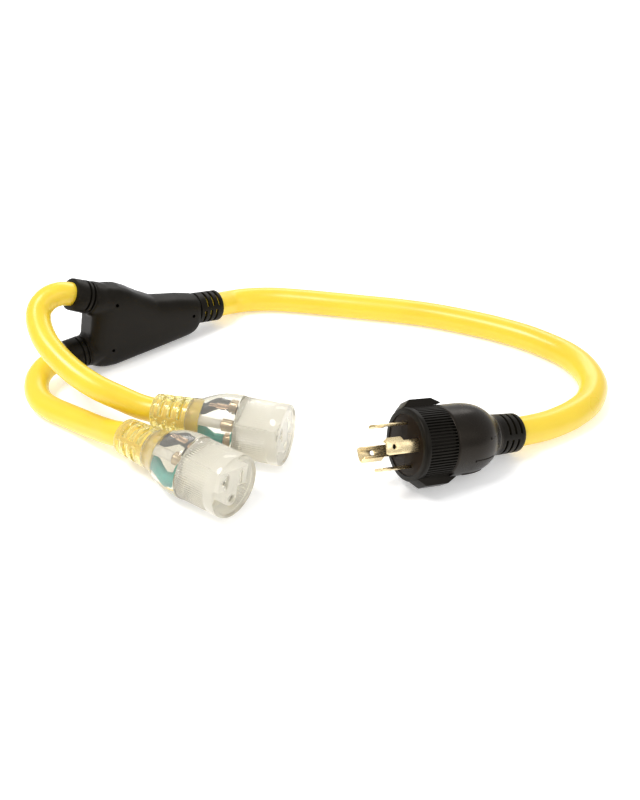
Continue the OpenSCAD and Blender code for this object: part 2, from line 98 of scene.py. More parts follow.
LENS = 39.2
CAMERA_AT = (29, -480.7, 329.2)
CAMERA_DOWN = 34

camera_data = bpy.data.cameras.new("camera")
camera_data.lens = LENS
camera_data.sensor_width = 36
camera_data.clip_start = 0.01
camera = bpy.data.objects.new("camera", camera_data)
bpy.context.scene.collection.objects.link(camera)
camera.location = [v * MM for v in CAMERA_AT]
camera.rotation_euler = (math.radians(90 - CAMERA_DOWN), 0, 0)
bpy.context.scene.camera = camera


# ---------- Material helpers ----------

def set_inputs(shader, **values):
    for name, value in values.items():
        shader.inputs[name.replace("_", " ")].default_value = value


def new_material(name):
    """A node material with a Principled shader, and a function that adds and links a node."""
    material = bpy.data.materials.new(name)
    material.use_nodes = True
    tree = material.node_tree
    shader = tree.nodes["Principled BSDF"]

    def add(kind, inputs=None, **settings):
        node = tree.nodes.new(kind)
        for key, value in settings.items():
            setattr(node, key, value)
        for key, value in (inputs or {}).items():
            if isinstance(value, bpy.types.NodeSocket):
                tree.links.new(value, node.inputs[key])
            else:
                node.inputs[key].default_value = value
        return node

    def link(a, b):
        tree.links.new(a, b)

    return material, shader, add, link


def shade(color, factor):
    return (color[0] * factor, color[1] * factor, color[2] * factor, 1)


def moulded(name, color, rough, grain, depth, spread=0.12, mottle=60, stretch=(1, 1, 1), **extra):
    """Moulded or extruded plastic: cloudy colour, uneven gloss and a fine surface grain.

    grain is the grain's scale per metre and depth its height in metres."""
    material, shader, add, link = new_material(name)
    place = add("ShaderNodeTexCoord").outputs["Object"]
    mapped = add("ShaderNodeMapping", {"Vector": place, "Scale": stretch}).outputs["Vector"]
    cloud = add("ShaderNodeTexNoise", {"Vector": mapped, "Scale": mottle, "Detail": 4.0})
    tint = add("ShaderNodeValToRGB", {"Fac": cloud.outputs["Fac"]})
    tint.color_ramp.elements[0].position = 0.3
    tint.color_ramp.elements[1].position = 0.7
    tint.color_ramp.elements[0].color = shade(color, 1 - spread)
    tint.color_ramp.elements[1].color = shade(color, 1 + spread)
    link(tint.outputs["Color"], shader.inputs["Base Color"])
    fine = add("ShaderNodeTexNoise", {"Vector": mapped, "Scale": grain, "Detail": 6.0, "Roughness": 0.6})
    gloss = add("ShaderNodeMapRange", {"Value": cloud.outputs["Fac"], "From Min": 0.3, "From Max": 0.7,
                                       "To Min": rough - 0.06, "To Max": rough + 0.08})
    link(gloss.outputs["Result"], shader.inputs["Roughness"])
    bump = add("ShaderNodeBump", {"Height": fine.outputs["Fac"], "Distance": depth, "Strength": 1.0})
    link(bump.outputs["Normal"], shader.inputs["Normal"])
    set_inputs(shader, **extra)
    return material


def metal(name, color, rough, spread=0.18):
    """Pressed metal: drawn streaks, small stains and worn, brighter patches."""
    material, shader, add, link = new_material(name)
    place = add("ShaderNodeTexCoord").outputs["Object"]
    streaked = add("ShaderNodeMapping", {"Vector": place, "Scale": (1, 2.2, 6)}).outputs["Vector"]
    streak = add("ShaderNodeTexNoise", {"Vector": streaked, "Scale": 420.0, "Detail": 5.0})
    stain = add("ShaderNodeTexNoise", {"Vector": place, "Scale": 160.0, "Detail": 3.0})
    tint = add("ShaderNodeValToRGB", {"Fac": stain.outputs["Fac"]})
    tint.color_ramp.elements[0].position = 0.32
    tint.color_ramp.elements[1].position = 0.62
    tint.color_ramp.elements[0].color = shade(color, 1 - spread)
    tint.color_ramp.elements[1].color = shade(color, 1 + spread * 0.4)
    link(tint.outputs["Color"], shader.inputs["Base Color"])
    gloss = add("ShaderNodeMapRange", {"Value": streak.outputs["Fac"], "From Min": 0.3, "From Max": 0.7,
                                       "To Min": rough - 0.07, "To Max": rough + 0.12})
    link(gloss.outputs["Result"], shader.inputs["Roughness"])
    bump = add("ShaderNodeBump", {"Height": streak.outputs["Fac"], "Distance": 0.00003, "Strength": 0.6})
    link(bump.outputs["Normal"], shader.inputs["Normal"])
    set_inputs(shader, Metallic=1.0)
    return material


def clear_vinyl(name, color, rough, milk, painted_glow=0.0):
    """Clear moulded vinyl: refracting, with flow marks in its surface.

    milk is how cloudy it is, from 0 to 1, and painted_glow a faint painted glow in the vinyl's tint: emission
    that stands in for light shining through it."""
    material, shader, add, link = new_material(name)
    place = add("ShaderNodeTexCoord").outputs["Object"]
    cloud = add("ShaderNodeTexNoise", {"Vector": place, "Scale": 90.0, "Detail": 3.0})
    tint = add("ShaderNodeValToRGB", {"Fac": cloud.outputs["Fac"]})
    tint.color_ramp.elements[0].color = shade(color, 0.97)
    tint.color_ramp.elements[1].color = shade(color, 1.02)
    link(tint.outputs["Color"], shader.inputs["Base Color"])
    flow = add("ShaderNodeTexNoise", {"Vector": place, "Scale": 260.0, "Detail": 2.0})
    bump = add("ShaderNodeBump", {"Height": flow.outputs["Fac"], "Distance": 0.00008, "Strength": 0.5})
    link(bump.outputs["Normal"], shader.inputs["Normal"])
    gloss = add("ShaderNodeMapRange", {"Value": cloud.outputs["Fac"], "From Min": 0.3, "From Max": 0.7,
                                       "To Min": rough * 0.7, "To Max": rough * 1.3})
    link(gloss.outputs["Result"], shader.inputs["Roughness"])
    # The emission is painted glow, not a lamp: it brightens the vinyl as if light shone through it.
    set_inputs(shader, Transmission_Weight=1.0 - milk, IOR=1.45,
               Emission_Color=shade(color, 1), Emission_Strength=painted_glow)
    return material


YELLOW = moulded("yellow_vinyl", (0.82, 0.585, 0.03), 0.33, 1500, 0.00003, 0.05, 25, (1, 1, 1),
                 Coat_Weight=0.25, Coat_Roughness=0.25, Subsurface_Weight=0.08, Subsurface_Scale=0.004)
BLACK_GLOSS = moulded("black_gloss_vinyl", (0.004, 0.003, 0.002), 0.27, 1100, 0.00004, 0.3, 45,
                      Specular_IOR_Level=0.25, Specular_Tint=(1, 0.86, 0.72, 1))
BLACK_SATIN = moulded("black_satin_vinyl", (0.004, 0.0035, 0.0025), 0.38, 1300, 0.00006, 0.3, 45,
                      Specular_IOR_Level=0.15, Specular_Tint=(1, 0.9, 0.78, 1))
BLACK_MATT = moulded("black_matt_nylon", (0.007, 0.0035, 0.0015), 0.5, 1600, 0.00005, 0.3, 60,
                     Specular_IOR_Level=0.15, Specular_Tint=(1, 0.8, 0.6, 1))
BRASS = metal("brass", (0.93, 0.76, 0.45), 0.26)
CONTACT = metal("contact_brass", (0.5, 0.4, 0.28), 0.33)
TIN = metal("tinned_crimp", (0.72, 0.71, 0.69), 0.3)
COPPER = metal("copper_strands", (0.5, 0.36, 0.28), 0.35)
CLEAR = clear_vinyl("clear_vinyl", (0.95, 0.92, 0.81), 0.04, 0.13)
# The relief and the barrel carry a faint painted glow in their tint, standing in for light shining through
# them.
CLEAR_RELIEF = clear_vinyl("clear_relief_vinyl", (1.0, 0.9, 0.42), 0.07, 0.16, 0.04)
CLEAR_BARREL = clear_vinyl("cloudy_vinyl", (0.96, 0.925, 0.81), 0.12, 0.26, 0.01)
CARRIER_WHITE = moulded("white_nylon", (0.95, 0.93, 0.88), 0.35, 1400, 0.00003, 0.05)
WIRE_GREEN = moulded("green_insulation", (0.03, 0.42, 0.38), 0.32, 1500, 0.00002, 0.12)
WIRE_WHITE = moulded("white_insulation", (0.87, 0.84, 0.78), 0.32, 1500, 0.00002, 0.05)
WIRE_BLACK = moulded("black_insulation", (0.02, 0.02, 0.022), 0.34, 1500, 0.00002, 0.2)
WIRE_RED = moulded("red_insulation", (0.55, 0.02, 0.015), 0.34, 1500, 0.00002, 0.12)
LAMP = clear_vinyl("lamp_glass", (1.0, 0.72, 0.55), 0.03, 0.25)
PREMOULD = moulded("grey_premould", (0.5, 0.5, 0.48), 0.5, 1200, 0.00004, 0.08)


# ---------- Mesh helpers ----------

def smooth(obj, angle=35):
    for polygon in obj.data.polygons:
        polygon.use_smooth = True
    obj.data.set_sharp_from_angle(angle=math.radians(angle))


def add_object(name, verts, faces, where, material):
    """A mesh object from vertices in a head's frame, in millimetres."""
    mesh = bpy.data.meshes.new(name)
    mesh.from_pydata([tuple((where @ Vector(v)) * MM) for v in verts], [], faces)
    mesh.validate()
    bm = bmesh.new()
    bm.from_mesh(mesh)
    bmesh.ops.remove_doubles(bm, verts=bm.verts, dist=1e-7)
    bmesh.ops.recalc_face_normals(bm, faces=bm.faces)
    bm.to_mesh(mesh)
    bm.free()
    mesh.materials.append(material)
    obj = bpy.data.objects.new(name, mesh)
    bpy.context.scene.collection.objects.link(obj)
    return obj


def apply_modifiers(obj):
    """Replace the object's mesh by what its modifiers make of it."""
    bpy.context.view_layer.update()
    graph = bpy.context.evaluated_depsgraph_get()
    mesh = bpy.data.meshes.new_from_object(obj.evaluated_get(graph))
    obj.modifiers.clear()
    obj.data = mesh


def bevel(obj, width, segments=2, angle=40):
    modifier = obj.modifiers.new("bevel", "BEVEL")
    modifier.width = width * MM
    modifier.segments = segments
    modifier.limit_method = "ANGLE"
    modifier.angle_limit = math.radians(angle)
    modifier.harden_normals = False
    apply_modifiers(obj)


def cut(obj, *cutters):
    """Take the cutters away from the object, and delete them."""
    for cutter in cutters:
        modifier = obj.modifiers.new("cut", "BOOLEAN")
        modifier.operation = "DIFFERENCE"
        modifier.solver = "EXACT"
        modifier.object = cutter
        apply_modifiers(obj)
        bpy.data.objects.remove(cutter)


def join(name, *objects):
    """One object from several, each keeping its material."""
    bm = bmesh.new()
    materials = []
    for obj in objects:
        start = len(bm.faces)
        bm.from_mesh(obj.data)
        bm.faces.ensure_lookup_table()
        material = obj.data.materials[0]
        if material not in materials:
            materials.append(material)
        for face in bm.faces[start:]:
            face.material_index = materials.index(material)
    mesh = bpy.data.meshes.new(name)
    bm.to_mesh(mesh)
    bm.free()
    for material in materials:
        mesh.materials.append(material)
    for obj in objects:
        bpy.data.objects.remove(obj)
    result = bpy.data.objects.new(name, mesh)
    bpy.context.scene.collection.objects.link(result)
    return result


def spline(points, per_span):
    """Points along the smooth curve through the given ones, as the CAD tubes are swept."""
    p = np.array(points, float)
    p = np.vstack([2 * p[0] - p[1], p, 2 * p[-1] - p[-2]])
    t = np.arange(per_span)[:, None] / per_span
    out = []
    for a, b, c, d in zip(p, p[1:], p[2:], p[3:]):
        out.append(0.5 * (2 * b + (c - a) * t + (2 * a - 5 * b + 4 * c - d) * t**2
                          + (3 * b - a - 3 * c + d) * t**3))
    return np.vstack(out + [p[-2:-1]])


def turned(name, profile, where, material, segments=96, radius=None, closed=True):
    """A solid of revolution about the head's x axis; profile is a list of (x, radius).

    radius(x, r, angle) may change the radius around the axis."""
    verts, faces = [], []
    for x, r in profile:
        for k in range(segments):
            a = 2 * math.pi * k / segments
            r_here = radius(x, r, a) if radius else r
            verts.append((x, r_here * math.sin(a), r_here * math.cos(a)))
    for i in range(len(profile) - 1):
        for k in range(segments):
            n = (k + 1) % segments
            a = i * segments
            faces.append((a + k, a + n, a + segments + n, a + segments + k))
    if closed:
        faces.append(tuple(range(segments)))
        last = (len(profile) - 1) * segments
        faces.append(tuple(last + k for k in range(segments - 1, -1, -1)))
    return add_object(name, verts, faces, where, material)


def prism(name, outline, a, b, where, material):
    """A prism from x = a to x = b; outline is a list of (y, z)."""
    n = len(outline)
    verts = [(x, y, z) for x in (a, b) for y, z in outline]
    faces = [tuple(range(n)), tuple(range(2 * n - 1, n - 1, -1))]
    faces += [(k, (k + 1) % n, n + (k + 1) % n, n + k) for k in range(n)]
    return add_object(name, verts, faces, where, material)


def arc(y, z, r, start, end, count):
    """Points on a circle in a head's yz plane; angles in degrees from +y."""
    steps = [math.radians(start + (end - start) * k / count) for k in range(count + 1)]
    return [(y + r * math.cos(a), z + r * math.sin(a)) for a in steps]


def wire(name, points, r, where, material, per_span=6):
    """A round wire swept through points in a head's frame."""
    path = [where @ Vector(p) for p in spline(points, per_span)]
    return tube(name, path, r, material, 5)


def tube(name, path, r, material, roundness):
    """A curve object: one open spline with a round section; path in millimetres."""
    data = bpy.data.curves.new(name, "CURVE")
    data.dimensions = "3D"
    data.bevel_depth = r * MM
    data.bevel_resolution = roundness
    data.use_fill_caps = True
    line = data.splines.new("POLY")
    line.points.add(len(path) - 1)
    for point, p in zip(line.points, path):
        point.co = (p[0] * MM, p[1] * MM, p[2] * MM, 1)
    line.use_smooth = True
    data.materials.append(material)
    obj = bpy.data.objects.new(name, data)
    bpy.context.scene.collection.objects.link(obj)
    return obj


def relief(name, where, root_x, length, root_r, end_r, bore, rows, material, turn=0.0, lip=1.6):
    """A slotted, tapered strain relief from root_x along the head's x axis, by a signed length.

    Four windows of slots stand round it, and neighbouring windows are half a pitch apart."""
    segments, ribs = 96, 4
    sign = 1 if length > 0 else -1
    size = abs(length)
    pitch = (size - lip) / (2 * rows + 1)
    margin = pitch * 0.14
    lines = [0.0]
    for i in range(2 * rows + 1):
        lines += [i * pitch + margin, (i + 1) * pitch - margin]
    lines += [size - lip, size - lip * 0.3, size]
    verts, faces = [], []
    for s in lines:
        taper = root_r + (end_r - root_r) * s / size
        if s == size:
            taper -= 0.5
        for k in range(segments):
            a = 2 * math.pi * k / segments + turn
            verts.append((root_x + sign * s, taper * math.sin(a), taper * math.cos(a)))
    window = segments // 4
    for i in range(len(lines) - 1):
        cell = (i - 1) // 2
        in_slot_row = i % 2 == 1 and 0 <= cell < 2 * rows + 1
        for k in range(segments):
            quarter = k // window
            inside = ribs / 2 <= k % window < window - ribs / 2
            if in_slot_row and inside and cell % 2 == quarter % 2 and 0 < cell:
                continue
            n = (k + 1) % segments
            a = i * segments
            faces.append((a + k, a + n, a + segments + n, a + segments + k))
    obj = add_object(name, verts, faces, where, material)
    wall = obj.modifiers.new("wall", "SOLIDIFY")
    wall.thickness = (end_r - bore) * MM
    wall.offset = -1
    wall.use_even_offset = True
    apply_modifiers(obj)
    bevel(obj, 0.35, 2, 50)
    smooth(obj, 50)
    return obj


def finish_piece(obj, slot, *nodes):
    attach(obj, ROOT)
    if nodes:
        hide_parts(*nodes)
    return obj


# ---------- Cords ----------

MAIN_ROUTE = (
    on_axis(SPLITTER, [-JACKET_IN, 7, TRUNK_RELIEF])
    + [
        (-40.8, 129.6, 10.4), (-27.1, 135.2, 9.5), (-8.2, 136.6, 9.3), (14.5, 133.4, 9.3),
        (39.5, 128.3, 9.3), (64.3, 123, 9.3), (88.7, 117.7, 9.3), (112.5, 110.9, 9.3),
        (135.4, 101.7, 9.3), (157.4, 91, 9.3), (177.9, 78.1, 9.3), (192.6, 65.2, 9.3),
        (204.8, 50.9, 9.3), (212.1, 33.4, 9.3), (213, 11.8, 9.3), (205, -8, 9.3),
        (193, -21.2, 9.3), (180.7, -30.1, 9.3), (167.1, -38.3, 10.3),
    ]
    + on_axis(PLUG, [-PLUG_LEN, -PLUG_LEN + 12, -PLUG_LEN + 24, -PLUG_JACKET])
)
FAR_ROUTE = (
    on_axis(arm_frame(1), [-JACKET_IN, 5, ARM_RELIEF])
    + [
        (-143.8, 34.4, 65.8), (-150, 29.5, 64.5), (-153.8, 22.5, 60.5), (-152.5, 13.5, 55.5),
        (-146.8, 2.4, 50), (-138.9, -6.9, 45.2), (-130, -15.1, 41), (-119.9, -22.2, 36.8),
        (-107.9, -27.7, 32), (-95.6, -30.3, 27), (-83.6, -33, 22.6),
    ]
    + on_axis(FAR, [-CONNECTOR_LEN, -CONNECTOR_LEN + 12, -JACKET_END])
)
NEAR_ROUTE = (
    on_axis(arm_frame(-1), [-JACKET_IN, 5, ARM_RELIEF])
    + [
        (-153.3, 29.7, 16.6), (-158.7, 24.2, 14.8), (-161.4, 15.1, 12.4), (-159.6, 3.7, 10.2),
        (-153.4, -7.4, 8.9), (-144.4, -15.2, 8.3), (-133.1, -22.7, 8.5), (-120.6, -31.9, 9.8),
        (-108.4, -42, 12.2), (-97.3, -51.6, 15.8),
    ]
    + on_axis(NEAR, [-CONNECTOR_LEN, -CONNECTOR_LEN + 12, -JACKET_END])
)


def cord(name, route, r, node):
    """A cord along its CAD route."""
    path = spline(route, 10)
    obj = tube(name, path, r, YELLOW, 12)
    finish_piece(obj, "cord_jacket", node)
    return obj


cord("main_cord_jacket", MAIN_ROUTE, MAIN_R, "main_cord")
cord("branch_far_jacket", FAR_ROUTE, BRANCH_R, "branch_cord_far")
cord("branch_near_jacket", NEAR_ROUTE, BRANCH_R, "branch_cord_near")


# ---------- Plug ----------

def dome_profile(points, per_span=5):
    return [tuple(p) for p in spline(points, per_span)]


PLUG_DOME = dome_profile([(-COLLAR_LEN - 0.3, 21.3), (-30, 21.4), (-38, 21.4), (-44, 20.7),
                          (-49, 19.2), (-53, 17), (-56, 14.8), (-59, 12.9), (-PLUG_SHOULDER, 12.6)])


def dome_radius(x):
    xs = [-p[0] for p in PLUG_DOME]
    return float(np.interp(-x, xs, [p[1] for p in PLUG_DOME]))


def plug_dash(name, start, end, angle, height=0.45, half=0.55):
    """A short raised line along the plug's dome."""
    stations = np.linspace(start, end, 7)
    verts, faces = [], []
    for x in stations:
        r = dome_radius(x)
        for side, rise in ((-1.6, -0.3), (-1, height), (1, height), (1.6, -0.3)):
            a = math.radians(angle) + side * half / r
            verts.append((x, (r + rise) * math.sin(a), (r + rise) * math.cos(a)))
    for i in range(len(stations) - 1):
        for k in range(3):
            faces.append((4 * i + k, 4 * i + k + 1, 4 * i + k + 5, 4 * i + k + 4))
        faces.append((4 * i + 3, 4 * i, 4 * i + 4, 4 * i + 7))
    faces += [(3, 2, 1, 0), tuple(4 * len(stations) - 4 + k for k in range(4))]
    obj = add_object(name, verts, faces, PLUG, BLACK_GLOSS)
    smooth(obj, 60)
    return obj


def build_plug_body():
    neck = [(-FACE_T - 1, 17.8), (-COLLAR_LEN - 0.3, 17.8), (-COLLAR_LEN - 0.3, 20.8),
            (-COLLAR_LEN - 0.9, 21.3)]
    foot = [(-PLUG_SHOULDER - 0.6, 12.4), (-PLUG_SHOULDER - 0.6, 9.4)]
    body = turned("plug_dome", neck + PLUG_DOME[1:] + foot, PLUG, BLACK_GLOSS, 128)
    smooth(body, 40)
    dashes = [plug_dash(f"dash_{k}", start, end, angle) for k, (start, end, angle) in enumerate([
        (-33, -47, -17), (-36, -50, -52), (-46, -51, -88), (-33, -47, 163), (-36, -50, 128),
        (-46, -51, 92)])]
    body = join("plug_moulded_body", body, *dashes)
    finish_piece(body, "plug_moulding", "plug_body")
    tail = relief("plug_strain_relief", PLUG, -PLUG_SHOULDER, PLUG_SHOULDER - PLUG_LEN, 12.6, 12.0,
                  MAIN_R + 0.2, 3, BLACK_SATIN, math.radians(10), 2.4)
    finish_piece(tail, "plug_moulding")


def build_collar():
    ribs, wing_clear, wing_turn = 72, math.radians(11), math.radians(WING_TURN)

    def ribbed(x, r, a):
        if x > -3.4 or x < -COLLAR_LEN + 0.1:
            return r
        off_wing = abs(math.remainder(a + wing_turn, math.pi))
        if off_wing < wing_clear:
            return r
        wave = (math.cos(a * ribs) + 0.15) * 2.6
        groove = 1.7 if x < -COLLAR_LEN + 2.2 else 0.95
        return r - groove * (1 - 1 / (1 + math.exp(-3 * wave)))

    stations = [-3.5, -3.9, -4.4] + list(np.linspace(-6, -COLLAR_LEN + 2.6, 8))
    stations += [-COLLAR_LEN + 2.1, -COLLAR_LEN + 1.2, -COLLAR_LEN + 0.5]
    r = COLLAR_R - 0.1
    outer = [(0, FACE_R + 0.1), (0, r - 0.9), (-0.3, r - 0.25), (-0.9, r + 0.1), (-2.9, r + 0.1), (-3.3, r)]
    outer += [(x, r) for x in stations]
    outer += [(-COLLAR_LEN + 0.15, r - 0.2), (-COLLAR_LEN, r - 0.6), (-COLLAR_LEN, FACE_R + 0.1)]
    ring = turned("collar_ring", outer + outer[:1], PLUG, BLACK_SATIN, 792, ribbed, closed=False)
    smooth(ring, 40)
    wings = []
    for k, flip in enumerate((0, math.pi)):
        crest = COLLAR_R + WING_RISE
        outline = [(-0.5, WING_FOOT), (-0.5, COLLAR_R - 0.3), (-5.5, crest), (-20.5, crest),
                   (-26.5, WING_SKIRT + 0.6), (-26.5, WING_SKIRT), (-COLLAR_LEN + 0.1, WING_SKIRT),
                   (-COLLAR_LEN + 0.1, WING_FOOT)]
        verts = [(x, y, z) for y in (-WING_HALF, WING_HALF) for x, z in outline]
        n = len(outline)
        faces = [tuple(range(n)), tuple(range(2 * n - 1, n - 1, -1))]
        faces += [(i, (i + 1) % n, n + (i + 1) % n, n + i) for i in range(n)]
        stand = PLUG @ Matrix.Rotation(wing_turn + flip, 4, "X")
        wing = add_object(f"collar_wing_{k}", verts, faces, stand, BLACK_SATIN)
        bevel(wing, 0.8, 4)
        smooth(wing, 30)
        wings.append(wing)
    collar = join("plug_grip_collar", ring, *wings)
    finish_piece(collar, "plug_grip", "plug_collar")


def build_plug_face():
    face = turned("plug_front_insert", [(-FACE_T, 17.6), (-0.9, 17.6), (-0.35, FACE_R - 0.05), (-0.35, 16.6),
                                        (-0.1, 16.2), (-0.1, 0.4)], PLUG, BLACK_MATT, 96)
    cutters = []
    for k in (0, GROUND_TURN, 180, 270):
        turn = Matrix.Rotation(math.radians(k), 4, "X")
        outline = arc(0, 0, BLADE_CIRCLE + BLADE_T / 2 + 0.25, 72, 108, 8)
        outline += arc(0, 0, BLADE_CIRCLE - BLADE_T / 2 - 0.25, 108, 72, 8)
        cutters.append(prism("slot", outline, -3.5, 2, PLUG @ turn, BLACK_MATT))
    screw = turned("hole", [(-3, 1.7), (2, 1.7)], PLUG, BLACK_MATT, 32)
    cut(face, screw, *cutters)
    smooth(face, 35)
    finish_piece(face, "plug_insert", "plug_face")


def blade_outline(reach):
    """The flat outline of a blade: (x, distance round the blade circle)."""
    half, top, mid = BLADE_HALF, HOOK_HALF, HOOK_START
    points = [(-6, -half), (reach - 1.2, -half)]
    points += [(reach - 1.2 + 1.2 * math.sin(a), -half + 1.2 - 1.2 * math.cos(a)) for a in (0.5, 1.0, 1.57)]
    points += [(reach + 0.2, top - 1.0), (reach - 0.6, top), (mid + 0.8, top), (mid, top - 0.7),
               (mid - 0.3, half + 0.2), (mid - 1.0, half), (-6, half)]
    return points


def build_blade(name, node, turn_degrees, reach, tab):
    """A blade: a curved brass plate with a hooked front half, a hole and rounded edges."""
    where = PLUG @ Matrix.Rotation(math.radians(turn_degrees), 4, "X")
    outline = blade_outline(reach)
    curve = bpy.data.curves.new(name, "CURVE")
    curve.dimensions = "2D"
    curve.fill_mode = "BOTH"
    hole = [(BLADE_HOLE_X + BLADE_HOLE_R * math.cos(a), BLADE_HOLE_Y + BLADE_HOLE_R * math.sin(a))
            for a in np.linspace(0, 2 * math.pi, 24, endpoint=False)]
    for points in (outline, hole):
        line = curve.splines.new("POLY")
        line.points.add(len(points) - 1)
        for point, p in zip(line.points, points):
            point.co = (p[0], p[1], 0, 1)
        line.use_cyclic_u = True
    flat = bpy.data.objects.new(name, curve)
    bpy.context.scene.collection.objects.link(flat)
    bpy.context.view_layer.update()
    mesh = bpy.data.meshes.new_from_object(flat.evaluated_get(bpy.context.evaluated_depsgraph_get()))
    bpy.data.objects.remove(flat)
    bm = bmesh.new()
    bm.from_mesh(mesh)
    bmesh.ops.remove_doubles(bm, verts=bm.verts, dist=1e-4)
    for y in np.arange(-5, 6, 1.25):
        bmesh.ops.bisect_plane(bm, geom=bm.verts[:] + bm.edges[:] + bm.faces[:], plane_co=(0, y, 0),
                               plane_no=(0, 1, 0))
    r = BLADE_CIRCLE
    for v in bm.verts:
        a = v.co.y / r
        v.co = where @ Vector((v.co.x, -r * math.sin(a), r * math.cos(a))) * MM
    bm.to_mesh(mesh)
    bm.free()
    mesh.materials.clear()
    mesh.materials.append(BRASS)
    obj = bpy.data.objects.new(name, mesh)
    bpy.context.scene.collection.objects.link(obj)
    plate = obj.modifiers.new("plate", "SOLIDIFY")
    plate.thickness = BLADE_T * MM
    plate.offset = 0
    apply_modifiers(obj)
    bevel(obj, 0.25, 2, 50)
    smooth(obj, 40)
    if tab:
        a = 5.2 / r
        edge = where @ Matrix.Rotation(a, 4, "X")
        verts = []
        for x in (10.5, reach - 0.8):
            verts += [(x, -0.75, r + 0.3), (x, 0.75, r + 0.3), (x, 0.75, r - 4), (x, -0.75, r - 4)]
        faces = [(0, 1, 2, 3), (7, 6, 5, 4)] + [(n, (n + 1) % 4, 4 + (n + 1) % 4, 4 + n) for n in range(4)]
        bent = add_object(name + "_tab", verts, faces, edge, BRASS)
        bevel(bent, 0.3, 3)
        smooth(bent, 40)
        obj = join(name + "_piece", obj, bent)
    finish_piece(obj, "blade_brass", node)


build_plug_body()
build_collar()
build_plug_face()
for part, node_name, turn_to, stands, bent_tab in (
    ("hot_x_blade", "blade_hot_x", 270, BLADE_REACH, True),
    ("neutral_blade", "blade_neutral", 0, BLADE_REACH, False),
    ("hot_y_blade", "blade_hot_y", 180, BLADE_REACH, False),
    ("ground_blade", "blade_ground", GROUND_TURN, GROUND_REACH, True),
):
    build_blade(part, node_name, turn_to, stands, bent_tab)


# ---------- Splitter ----------

def splitter_section(x, low, top, half_z, power, count=48):
    """A closed, rounded-rectangle section of the splitter's body at x, from y = low to y = top."""
    middle, half_y = (low + top) / 2, (top - low) / 2
    points = []
    for k in range(count):
        a = 2 * math.pi * k / count
        c, s = math.cos(a), math.sin(a)
        points.append((x, middle + half_y * math.copysign(abs(c) ** (2 / power), c),
                       half_z * math.copysign(abs(s) ** (2 / power), s)))
    return points


def loft(name, sections, where, material):
    count = len(sections[0])
    verts = [p for section in sections for p in section]
    faces = [tuple(range(count)), tuple(range(len(verts) - 1, len(verts) - count - 1, -1))]
    for i in range(len(sections) - 1):
        for k in range(count):
            n = (k + 1) % count
            faces.append((i * count + k, i * count + n, (i + 1) * count + n, (i + 1) * count + k))
    return add_object(name, verts, faces, where, material)


def build_splitter():
    r = SPLITTER_R
    # (x, lower edge, upper edge, half thickness, roundness)
    stations = [
        (0.4, -12.6, 10.8, 10.6, 2.2), (-0.8, -15.8, 11.2, 11.4, 2.3), (-3, -18, 11.6, r - 0.1, 2.5),
        (-8, -19.7, 12.3, r, 2.7), (-16, -21.5, 13.3, r, 2.9), (-26, -23.7, 13.8, r, 3.1),
        (-38, -26.3, 14.9, r, 3.3), (-50, -28.9, 19.8, r, 3.6), (-60, -31.2, 24.9, r, 3.8),
        (-68, -33, 28, r, 3.8), (-75, -33.2, 28.8, r, 3.8), (-80, -32.6, 28.7, r - 0.3, 3.6),
        (-84, -31.2, 28.4, r - 1, 3.3), (-87, -30.2, 27.6, r - 2.4, 3.0),
        (-88.6, -28, 25.6, r - 4.6, 2.8),
    ]
    parts = [loft("splitter_wedge", [splitter_section(*s) for s in stations], SPLITTER, BLACK_SATIN)]
    for side in (1, -1):
        arm = arm_frame(side)
        root = [(-26, 8), (-20, 10.6), (-12, 11.5), (-2, 11.8), (3.5, 11.5), (4.2, 10.8)]
        parts.append(turned("arm_root", root, arm, BLACK_SATIN, 64))
    body = join("splitter_moulded_body", *parts)
    remesh = body.modifiers.new("remesh", "REMESH")
    remesh.mode = "VOXEL"
    remesh.voxel_size = 0.9 * MM
    apply_modifiers(body)
    soften = body.modifiers.new("soften", "SMOOTH")
    soften.factor = 0.5
    soften.iterations = 6
    apply_modifiers(body)
    pins = []
    for x, y in PIN_SPOTS:
        pins.append(turned("pin", [(-PIN_DEPTH, PIN_R), (4, PIN_R)],
                           SPLITTER @ Matrix.Translation((x, y, r)) @ Matrix.Rotation(math.pi / 2, 4, "Y"),
                           BLACK_SATIN, 24))
    cut(body, *pins)
    body.data.materials.clear()
    body.data.materials.append(BLACK_SATIN)
    smooth(body, 40)
    finish_piece(body, "splitter_moulding", "splitter_body")
    trunk = relief("splitter_trunk_relief", SPLITTER, 0, TRUNK_RELIEF, 11.6, 11.6, MAIN_R + 0.15, 3,
                   BLACK_SATIN, math.radians(20), 2.6)
    finish_piece(trunk, "splitter_moulding")
    for side, label in ((1, "far"), (-1, "near")):
        bore, body_r, groove_r = BRANCH_R + 0.15, 11.2, 10
        profile = [(3.9, bore), (3.9, body_r)]
        for start in (4.6, 7.9):
            profile += [(start, body_r), (start + 0.3, groove_r), (start + 1.4, groove_r)]
            profile.append((start + 1.7, body_r if start < 7 else body_r - 0.1))
        profile += [(17.2, 10.8), (17.8, 10.5), (ARM_RELIEF, 10), (ARM_RELIEF, bore)]
        sleeve = turned(f"splitter_{label}_relief", profile + profile[:1], arm_frame(side), BLACK_SATIN, 96,
                        closed=False)
        smooth(sleeve, 40)
        finish_piece(sleeve, "splitter_moulding")


build_splitter()


# ---------- Connectors ----------

def t_outline():
    """The T-shaped insert's outline: a bar behind the two slots and a round-ended stem."""
    low, high, bar, stem = SLOTS_Z - 5.6, SLOTS_Z + 5.6, 12, 4.6
    return [(-bar, high), (-bar, low), (-stem, low)] + arc(0, GROUND_Z, stem, 180, 360, 16) + [
        (stem, low), (bar, low), (bar, high)]


